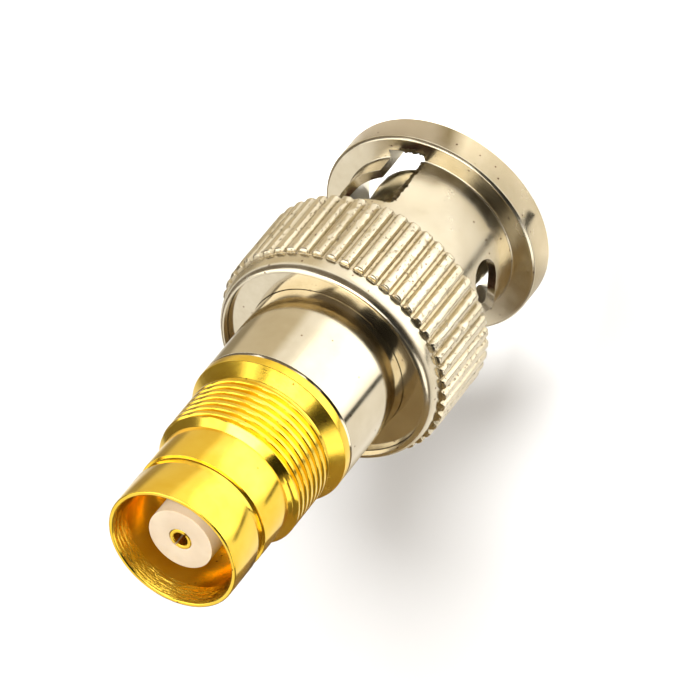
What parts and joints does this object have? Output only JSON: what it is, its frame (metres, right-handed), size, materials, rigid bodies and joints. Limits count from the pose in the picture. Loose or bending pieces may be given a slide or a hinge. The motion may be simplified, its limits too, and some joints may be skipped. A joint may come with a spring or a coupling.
{
  "type": "coaxial adapter",
  "caption": "Straight coaxial adapter: a nickel-plated bayonet plug with a knurled, spring-loaded coupling nut at one end and a gold-plated threaded jack at the other",
  "frame": {"origin": "centre of the coupling nut's mating face, on the adapter's axis", "axes": "+Z along the adapter's axis from the bayonet plug to the jack's mouth; the two bayonet entries are on +X and -X"},
  "size_m": [0.0146, 0.0146, 0.032],
  "materials": {
    "nickel": "bright nickel plate on brass",
    "gold": "bright gold plate on brass",
    "ptfe": "matt white fluoropolymer",
    "silicone": "matt red silicone",
    "spring_steel": "bright spring steel strip"
  },
  "bodies": {
    "adapter": {"jack_shell": "gold", "jack_insulator": "ptfe", "centre_contact": "gold", "plug_body": "nickel", "plug_insulator": "ptfe", "gasket": "silicone", "wave_washer": "spring_steel"},
    "thrust": {"thrust_washer": "nickel"},
    "nut": {"coupling_nut": "nickel", "retaining_ring": "nickel"}
  },
  "joints": [
    {"name": "nut_pull", "type": "slide", "parent": "adapter", "child": "thrust", "axis": [0, 0, -1], "range_m": [0, 0.0007], "stiffness_N_per_m": 600, "deforming": ["wave_washer"]},
    {"name": "nut_spin", "type": "hinge", "parent": "thrust", "child": "nut", "pos_m": [0, 0, 0.0118], "axis": [0, 0, 1], "continuous": true}
  ]
}
